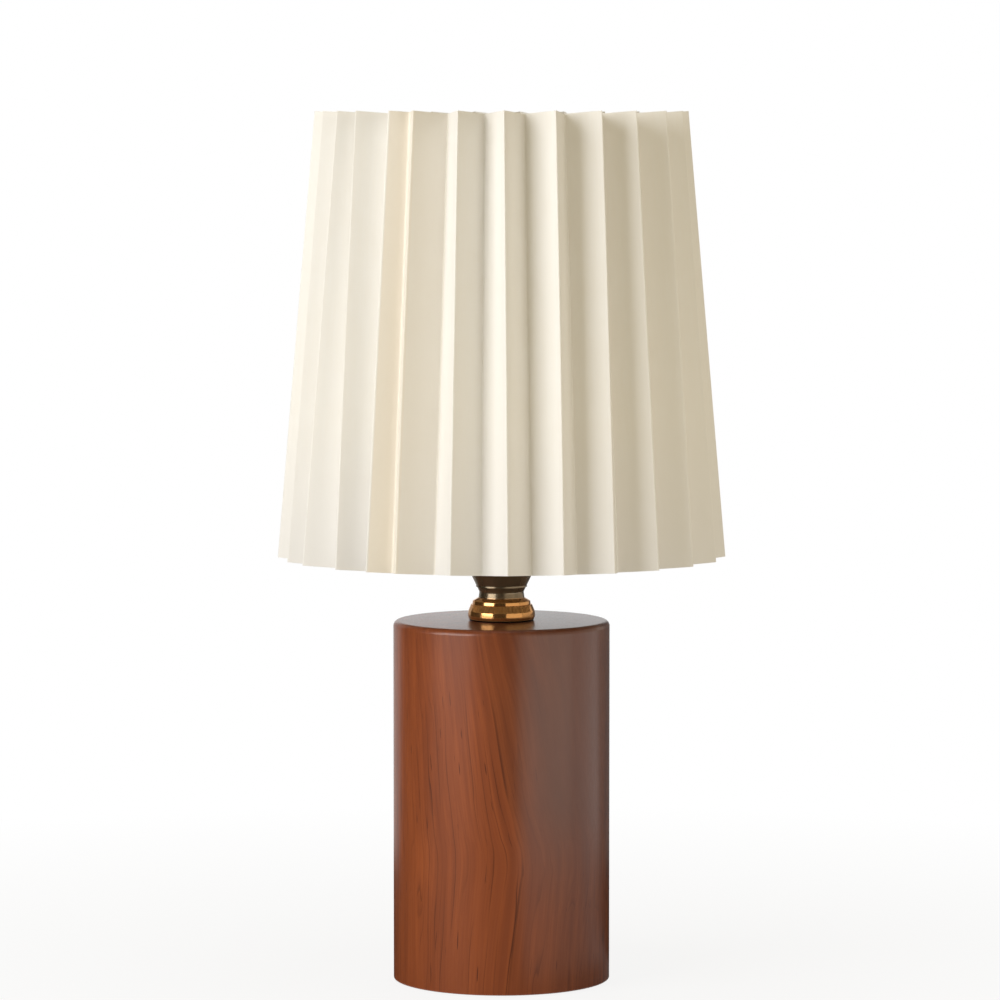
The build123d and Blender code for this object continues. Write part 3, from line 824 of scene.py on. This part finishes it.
def brushed_material(name, base, dull, stretch, roughness):
    """Metal with fine marks drawn out along the directions where stretch is small."""
    material, tree, shader = new_surface(name, Metallic=1.0)
    marks = noise(tree, coordinates(tree, scale=stretch), BRUSH_MARK_SIZE)
    patches = map_range(tree, noise(tree, coordinates(tree), BRUSH_PATCH_SIZE), *BRUSH_PATCHES)
    tree.links.new(mix_colours(tree, patches, base, dull), shader.inputs["Base Color"])
    tree.links.new(map_range(tree, marks, *BRUSH_MARKS, *roughness), shader.inputs["Roughness"])
    add_bump(tree, shader, marks, BRUSH_MARK_DEPTH)
    return material


def felt_material():
    """Dark felt with matted fibres."""
    material, tree, shader = new_surface("felt", Roughness=0.95, Sheen_Weight=0.4, Sheen_Roughness=0.6)
    fibres = noise(tree, coordinates(tree), FELT_FIBRE_SIZE, detail=6.0, roughness=0.75, distortion=1.2)
    colour = mix_colours(tree, map_range(tree, fibres, *FELT_FIBRES), FELT_DARK, FELT_PALE)
    tree.links.new(colour, shader.inputs["Base Color"])
    add_bump(tree, shader, fibres, FELT_RELIEF)
    return material


def make_materials():
    """One material for each of the record's slots."""
    materials = {
        "wood": wood_material(),
        "aged_brass": brass_material(),
        "shade_sheet": sheet_material(),
        "pad": felt_material(),
    }
    for slot, finish in SPECKLED.items():
        materials[slot] = speckled_material(*finish, **(OPAL_DEPTH if slot == "opal" else {}))
    for slot, finish in BRUSHED.items():
        materials[slot] = brushed_material(*finish)
    return materials


# Shade. The sheet closes on itself at a few narrower pleats; pairs are (lower edge, upper edge)

PLEAT_COUNT = 26
SEAM_STEPS = (11.0, 12.5, 11.6, 8.7)
SEAM_DIRECTION = -161.0
SEAM_PLEAT = 3
SEAM_PLEAT_DEPTHS = (0.69, 0.50)
RIDGE_TURNS = (
    (0.3, -0.1), (-0.5, 0.2), (1.5, -2.2), (0.1, 0.0), (0.0, 0.0), (0.1, -0.2), (0.0, -0.8),
    (-0.4, 0.4), (-1.1, 1.0), (-1.7, 0.0), (-2.3, 1.0), (-2.4, 0.6),
)
SHADE_RADII = (80.0 * MM, 66.5 * MM)
SHADE_HEIGHT = 158.0 * MM
PLEAT_DEPTHS = (12.2 * MM, 13.2 * MM)
SHEET_THICKNESS = 0.45 * MM
CREASE_REACH = 0.75 * MM
CREASE_STEPS = 4
FLANK_STEPS = 5
SHEET_ROWS = 22
FOLD_TURN = 0.16
VALLEY_SLACK = 0.25 * MM
FLANK_BOW = 0.30 * MM
FLANK_BOW_RANGE = (-0.4, 1)
FOLD_SEED = 7
LEAST_MITRE = 0.5


def pleat_folds():
    """Angle of each fold line in degrees, ridges and valleys in turn."""
    regular = (360 - sum(SEAM_STEPS)) / (PLEAT_COUNT - len(SEAM_STEPS))
    steps = list(SEAM_STEPS) + [regular] * (PLEAT_COUNT - len(SEAM_STEPS))
    angles = []
    angle = SEAM_DIRECTION
    for step in steps:
        angles += [angle, angle + step / 2]
        angle += step
    return angles


def fold_turns(share):
    """Turn of each fold from its even place at a share of the shade's height, in degrees."""
    ridges = [between(turn, share) for turn in RIDGE_TURNS]
    ridges += [0.0] * (PLEAT_COUNT - len(ridges))
    turns = []
    for index, turn in enumerate(ridges):
        turns += [turn, (turn + ridges[(index + 1) % PLEAT_COUNT]) / 2]
    return turns


def fold_points(share, folds, draws):
    """Plan points of the ridges and valleys at a share of the shade's height."""
    ridge = between(SHADE_RADII, share)
    depth = between(PLEAT_DEPTHS, share)
    seam_depth = depth * between(SEAM_PLEAT_DEPTHS, share)
    turns = fold_turns(share)
    points = []
    for index, angle in enumerate(folds):
        lean, slack, _ = draws[index]
        fold = seam_depth if index == 2 * SEAM_PLEAT + 1 else depth
        radius = ridge if index % 2 == 0 else ridge - fold + VALLEY_SLACK * slack
        turn = math.radians(angle + turns[index] + FOLD_TURN * lean * math.sin(math.pi * share))
        points.append(Vector((radius * math.cos(turn), radius * math.sin(turn))))
    return points


def sheet_outline(share, folds, draws):
    """Plan points of one row of the sheet: soft creases joined by slightly bowed flanks."""
    corners = fold_points(share, folds, draws)
    outline = []
    for index, here in enumerate(corners):
        after = corners[(index + 1) % len(corners)]
        outline += soft_corner(corners[index - 1], here, after, CREASE_REACH, CREASE_STEPS)
        start = outline[-1]
        run = after + (here - after).normalized() * CREASE_REACH - start
        normal = Vector((run.y, -run.x)).normalized()
        bow = FLANK_BOW * draws[index][2]
        for step in range(1, FLANK_STEPS):
            t = step / FLANK_STEPS
            outline.append(start + run * t + normal * bow * 4 * t * (1 - t))
    return outline


def inner_outline(outline):
    """The same row on the inner face of the sheet."""
    inner = []
    for index, here in enumerate(outline):
        first = (here - outline[index - 1]).normalized()
        second = (outline[(index + 1) % len(outline)] - here).normalized()
        along = (first + second).normalized()
        inward = Vector((-along.y, along.x))
        inner.append(here + inward * SHEET_THICKNESS / max(along.dot(second), LEAST_MITRE))
    return inner


def sheet_point(point, level, ridge):
    """Point of the sheet in space; its cut edges are square to the ridges."""
    taper = (SHADE_RADII[0] - SHADE_RADII[1]) / SHADE_HEIGHT
    return (point.x, point.y, level - taper * (ridge - point.length))


def sheet_rows(builder):
    """Rows of corners up the outer and the inner face of the sheet."""
    draw = random.Random(FOLD_SEED)
    folds = pleat_folds()
    draws = [(draw.uniform(-1, 1), draw.random(), draw.uniform(*FLANK_BOW_RANGE)) for _ in folds]
    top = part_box("shade_pleats")[1].z
    outer_rows, inner_rows = [], []
    for row in range(SHEET_ROWS + 1):
        share = row / SHEET_ROWS
        level = top - SHADE_HEIGHT * (1 - share)
        ridge = between(SHADE_RADII, share)
        outer = sheet_outline(share, folds, draws)
        for rows, outline in ((outer_rows, outer), (inner_rows, inner_outline(outer))):
            rows.append([builder.verts.new(sheet_point(point, level, ridge)) for point in outline])
    return outer_rows, inner_rows


def add_sheet_band(builder, uv_layer, low_row, high_row, strip, low, high):
    """Faces between two rows of corners, laid out flat by their lengths along the strip and two levels."""
    count = len(low_row)
    for column in range(count):
        following = (column + 1) % count
        left, right = strip[column], strip[column + 1]
        face = builder.faces.new((low_row[column], low_row[following], high_row[following], high_row[column]))
        for loop, place in zip(face.loops, ((left, low), (right, low), (right, high), (left, high))):
            loop[uv_layer].uv = place


def build_shade(materials):
    """Pleated sheet with its two faces and its cut edges."""
    builder = bmesh.new()
    uv_layer = builder.loops.layers.uv.new("sheet")
    outer_rows, inner_rows = sheet_rows(builder)
    strip = run_lengths([corner.co for corner in outer_rows[0]])
    slant = math.hypot(SHADE_HEIGHT, SHADE_RADII[0] - SHADE_RADII[1])
    levels = [slant * row / SHEET_ROWS for row in range(SHEET_ROWS + 1)]
    for rows in (outer_rows, inner_rows):
        for row in range(SHEET_ROWS):
            add_sheet_band(builder, uv_layer, rows[row], rows[row + 1], strip, levels[row], levels[row + 1])
    for row, level in ((0, 0.0), (SHEET_ROWS, slant)):
        add_sheet_band(builder, uv_layer, outer_rows[row], inner_rows[row], strip, level, level)
    shade = link_mesh("pleated_sheet", builder, materials["shade_sheet"], smooth_angle=50)
    dress(shade, "shade", "shade_sheet", "shade_pleats")


# Brass neck

NECK_SEGMENTS = 144
NECK_SMOOTH = 25
EDGE_ROUND = 0.12 * MM
PIPE_HOLE = 5.3 * MM

FOOT_UNDERCUT = 0.6 * MM
FOOT_TUCK = 0.35 * MM
FOOT_BELLY = 1.5 * MM
FOOT_BELLY_ROUND = 0.4 * MM
FOOT_SIDE_HEIGHT = 3.3 * MM
FOOT_DRAFT = 0.1 * MM
FOOT_SHOULDER = 1.15 * MM


def build_neck_foot(materials):
    """Lower ring: undercut foot, slightly bellied side and sloping shoulder."""
    low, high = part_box("neck_foot")
    outline = rounded_outline(
        (
            (high.x - FOOT_UNDERCUT, low.z, 0),
            (high.x - FOOT_TUCK, low.z + FOOT_UNDERCUT, EDGE_ROUND),
            (high.x, low.z + FOOT_BELLY, FOOT_BELLY_ROUND),
            (high.x - FOOT_DRAFT, low.z + FOOT_SIDE_HEIGHT, EDGE_ROUND),
            (high.x - FOOT_SHOULDER, high.z, EDGE_ROUND),
            (PIPE_HOLE, high.z, 0),
            (PIPE_HOLE, low.z, 0),
        )
    )
    builder = turn_outline(outline, NECK_SEGMENTS)
    foot = link_mesh("neck_foot_ring", builder, materials["aged_brass"], smooth_angle=NECK_SMOOTH)
    dress(foot, "base", "aged_brass", "neck_foot")


COLLAR_HEIGHT = 2.3 * MM
COLLAR_SIDE_HEIGHT = 1.2 * MM
COLLAR_RADIUS = 10.4 * MM
COLLAR_DRAFT = 0.12 * MM
COLLAR_LEDGE = 0.1 * MM
WAIST_RADIUS = 7.9 * MM
WAIST_HEIGHT = 2.1 * MM
WAIST_FLARE = 0.3 * MM
WAIST_ROUND = 0.4 * MM
BEAD_RISE = 1.7 * MM
BEAD_HEIGHT = 0.7 * MM
BEAD_DRAFT = 0.06 * MM
BEAD_LIP = 0.12 * MM
CUP_WALL = 1.4 * MM
NUT_POCKET = 8.683 * MM


def build_neck_spool(materials):
    """Spool: collar, waist, bead and the flared cup."""
    low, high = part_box("neck_spool")
    collar_top = low.z + COLLAR_HEIGHT
    waist = collar_top + WAIST_HEIGHT
    flare = WAIST_RADIUS + WAIST_FLARE
    slope = (high.x - WAIST_RADIUS) / (high.z - waist)
    bead_low = (WAIST_RADIUS + slope * BEAD_RISE, waist + BEAD_RISE)
    bead_high = (bead_low[0] + slope * BEAD_HEIGHT, bead_low[1] + BEAD_HEIGHT)
    cup_floor = waist + (NUT_POCKET + CUP_WALL - WAIST_RADIUS) / slope
    outline = rounded_outline(
        (
            (COLLAR_RADIUS, low.z, EDGE_ROUND / 2),
            (COLLAR_RADIUS - COLLAR_DRAFT, low.z + COLLAR_SIDE_HEIGHT, EDGE_ROUND),
            (flare + COLLAR_LEDGE, collar_top, 0),
            (flare, collar_top, 0),
            (WAIST_RADIUS, waist, WAIST_ROUND),
            (*bead_low, 0),
            (bead_high[0] + BEAD_DRAFT, bead_low[1] + BEAD_LIP, EDGE_ROUND / 2),
            (*bead_high, EDGE_ROUND / 2),
            (high.x, high.z, EDGE_ROUND),
            (high.x - CUP_WALL, high.z, EDGE_ROUND),
            (NUT_POCKET, cup_floor, 0),
            (PIPE_HOLE, cup_floor, 0),
            (PIPE_HOLE, low.z, 0),
        )
    )
    builder = turn_outline(outline, NECK_SEGMENTS)
    spool = link_mesh("neck_spool_cup", builder, materials["aged_brass"], smooth_angle=NECK_SMOOTH)
    dress(spool, "base", "aged_brass", "neck_spool")


# Lamp holder and bulb cap, with their threads

THREAD_SEGMENTS = 96
THREAD_ROWS = 10
THREAD_SMOOTH = 40
ROLLED_THREAD = 1.0
CUT_THREAD = 1.6
SKIRT_PITCH = 2.5 * MM
SKIRT_THREAD_DEPTH = 0.5 * MM
SKIRT_THREAD_MARGIN = 1.6 * MM
SKIRT_BORE = 15.5 * MM
SKIRT_POCKET = 17.0 * MM
SKIRT_POCKET_HEIGHT = 7.0 * MM
SKIRT_EDGE = 0.8 * MM
CAP_PITCH = 3.62 * MM
CAP_THREAD_DEPTH = 0.85 * MM
CAP_THREAD_MARGIN = 1.5 * MM
CAP_WALL = 0.5 * MM
CAP_MOUTH = 8.0 * MM
SHELL_THREAD_DEPTH = 0.45 * MM
SHELL_WALL = 0.4 * MM
SHELL_BORE = 13.4 * MM


def upright_points(radius, low, high, pitch):
    """Points up a wall, close enough to carry a thread."""
    count = max(2, round((high - low) / pitch * THREAD_ROWS))
    return [(radius, low + (high - low) * step / count, 0) for step in range(count + 1)]


def thread_change(low, high, pitch, depth, sharpness, least_radius):
    """Radius change for a thread between two levels that runs out softly at its ends."""

    def change(radius, height, angle):
        if radius < least_radius:
            return 0.0
        turn = (height - low) / pitch - angle / math.tau
        groove = ((1 - math.cos(math.tau * turn)) / 2) ** sharpness
        run_in = ramp(height, low, low + pitch / 2)
        run_out = 1 - ramp(height, high - pitch / 2, high)
        return -depth * groove * run_in * run_out

    return change


def link_thread(name, corners, change, material):
    """New object from a closed outline turned with a thread."""
    builder = turn_outline(rounded_outline(corners), THREAD_SEGMENTS, change)
    return link_mesh(name, builder, material, smooth_angle=THREAD_SMOOTH)


def build_holder_skirt(materials):
    """Skirt of the lamp holder with the thread that the shade's rings turn on."""
    low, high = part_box("holder_skirt")
    ledge = low.z + SKIRT_POCKET_HEIGHT
    start, end = low.z + SKIRT_THREAD_MARGIN, high.z - SKIRT_THREAD_MARGIN
    corners = [(SKIRT_POCKET, low.z, 0), (high.x, low.z, EDGE_ROUND)]
    corners += upright_points(high.x, start, end, SKIRT_PITCH)
    corners += [
        (high.x, high.z, SKIRT_EDGE),
        (SKIRT_BORE, high.z, SKIRT_EDGE),
        (SKIRT_BORE, ledge, 0),
        (SKIRT_POCKET, ledge, 0),
    ]
    outside = high.x - SKIRT_EDGE / 2
    change = thread_change(start, end, SKIRT_PITCH, SKIRT_THREAD_DEPTH, CUT_THREAD, outside)
    skirt = link_thread("threaded_skirt", corners, change, materials["holder"])
    dress(skirt, "base", "holder", "holder_skirt")


def build_screw_shell(materials):
    """Rolled brass shell that the bulb screws into."""
    low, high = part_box("screw_shell")
    inner = SHELL_BORE + SHELL_THREAD_DEPTH
    corners = upright_points(inner + SHELL_WALL, low.z, high.z, CAP_PITCH)
    corners += reversed(upright_points(inner, low.z, high.z, CAP_PITCH))
    change = thread_change(low.z, high.z, CAP_PITCH, SHELL_THREAD_DEPTH, ROLLED_THREAD, 0)
    shell = link_thread("threaded_shell", corners, change, materials["contact_brass"])
    dress(shell, "base", "contact_brass", "screw_shell")


def build_bulb_cap(materials):
    """Rolled screw cap of the bulb."""
    low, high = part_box("bulb_cap")
    start, end = low.z + CAP_THREAD_MARGIN, high.z - CAP_THREAD_MARGIN
    inner = high.x - CAP_WALL
    corners = [(CAP_MOUTH, low.z, 0), (high.x - CAP_THREAD_DEPTH, low.z, 2 * EDGE_ROUND)]
    corners += upright_points(high.x, start, end, CAP_PITCH)
    corners += [(high.x, high.z, 0), (inner, high.z, 0)]
    corners += reversed(upright_points(inner, start, end, CAP_PITCH))
    corners += [(inner - CAP_THREAD_DEPTH, low.z + CAP_WALL, 0), (CAP_MOUTH, low.z + CAP_WALL, 0)]
    change = thread_change(start, end, CAP_PITCH, CAP_THREAD_DEPTH, ROLLED_THREAD, CAP_MOUTH + EDGE_ROUND)
    cap = link_thread("threaded_cap", corners, change, materials["nickel"])
    dress(cap, "bulb", "nickel", "bulb_cap")


# Pad under the base

PAD_SEGMENTS = 96
PAD_RINGS = 30
PAD_RING_SPREAD = 0.8
PAD_EDGE_STEPS = 5
PAD_ROUND = 0.4 * MM
PAD_UNEVEN = 0.12 * MM
PAD_WAVES = 7
PAD_WAVE_RATES = (0.2, 0.9)
PAD_SEED = 11


def pad_profile(low, high):
    """(radius, level) points from the middle of the underside round the soft edge to the top."""
    radii = [high.x * (ring / PAD_RINGS) ** PAD_RING_SPREAD for ring in range(1, PAD_RINGS)]
    profile = [(radius, low.z) for radius in radii if radius < high.x - PAD_ROUND]
    for step in range(PAD_EDGE_STEPS + 1):
        turn = math.pi / 2 * step / PAD_EDGE_STEPS
        profile.append((high.x - PAD_ROUND * (1 - math.sin(turn)), low.z + PAD_ROUND * (1 - math.cos(turn))))
    return profile + [(high.x, high.z), (high.x / 2, high.z)]


def pad_waves():
    """Height of the uneven underside as a function of the place."""
    draw = random.Random(PAD_SEED)
    waves = [
        (draw.uniform(*PAD_WAVE_RATES) / MM, draw.uniform(0, math.tau), draw.uniform(0, math.tau))
        for _ in range(PAD_WAVES)
    ]

    def underside(x, y):
        total = 0.0
        for rate, heading, phase in waves:
            total += math.sin(rate * (x * math.cos(heading) + y * math.sin(heading)) + phase)
        return max(0.0, total / len(waves)) * PAD_UNEVEN

    return underside


def build_pad(materials):
    """Felt disc with a soft edge and a slightly uneven underside."""
    low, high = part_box("base_pad")
    underside = pad_waves()
    builder = bmesh.new()
    rings = []
    for radius, level in pad_profile(low, high):
        ring = []
        for segment in range(PAD_SEGMENTS):
            angle = math.tau * segment / PAD_SEGMENTS
            x, y = radius * math.cos(angle), radius * math.sin(angle)
            lift = underside(x, y) if level < low.z + PAD_ROUND else 0.0
            ring.append(builder.verts.new((x, y, level + lift)))
        rings.append(ring)
    join_rings(builder, rings)
    builder.faces.new(reversed(rings[0]))
    builder.faces.new(rings[-1])
    pad = link_mesh("felt_pad", builder, materials["pad"], smooth_angle=50)
    dress(pad, "base", "pad", "base_pad")


# Weld beads on the wire frame

RING_WIRE = 2.6 * MM
RIB_DIRECTION = 30
ARM_DIRECTION = 90
WELD_TURNS = (0, 120, 240)
RING_BEAD = Vector((1.75, 1.75, 1.65)) * MM
FITTER_BEAD = Vector((1.6, 1.6, 1.35)) * MM
BEAD_UNEVEN = 0.10
WELD_SEED = 5

# Rings with the directions welded to them, how far in from their outside the beads sit, and the beads' size
WELDED_RINGS = (
    ("shade_bottom_ring", (RIB_DIRECTION, ARM_DIRECTION), RING_WIRE / 2, RING_BEAD),
    ("shade_top_ring", (RIB_DIRECTION,), RING_WIRE / 2, RING_BEAD),
    ("fitter_ring", (ARM_DIRECTION,), 0.0, FITTER_BEAD),
)


def add_bead(builder, centre, size, draw):
    """Small uneven lump of weld."""
    made = bmesh.ops.create_icosphere(builder, subdivisions=2, radius=1.0)["verts"]
    for corner in made:
        swell = 1 + draw.uniform(-BEAD_UNEVEN, BEAD_UNEVEN)
        corner.co = centre + size * swell * corner.co


def build_welds(materials):
    """Beads where the ribs and arms meet the rings."""
    draw = random.Random(WELD_SEED)
    builder = bmesh.new()
    for node, directions, inset, size in WELDED_RINGS:
        low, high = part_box(node)
        reach = high.x - inset
        for direction in directions:
            for turn in WELD_TURNS:
                angle = math.radians(direction + turn)
                centre = Vector((reach * math.cos(angle), reach * math.sin(angle), (low.z + high.z) / 2))
                add_bead(builder, centre, size, draw)
    welds = link_mesh("weld_beads", builder, materials["frame_wire"], smooth_angle=60)
    dress(welds, "shade", "frame_wire")


# Whole scene


def dress_cad_nodes(materials):
    """Gives each carried-over node the material of its slot."""
    for part in frame["record"]["subparts"]:
        slots = nodes[part["node"]].material_slots
        slots[0].material = materials[part["material_slot"]]


def main():
    """Builds the studio, the finishes and the pieces."""
    bpy.context.scene.view_settings.view_transform = "Standard"
    add_camera()
    add_world()
    add_lights()
    add_floor()
    add_flags()
    materials = make_materials()
    dress_cad_nodes(materials)
    build_shade(materials)
    build_neck_foot(materials)
    build_neck_spool(materials)
    build_holder_skirt(materials)
    build_screw_shell(materials)
    build_bulb_cap(materials)
    build_pad(materials)
    build_welds(materials)


main()
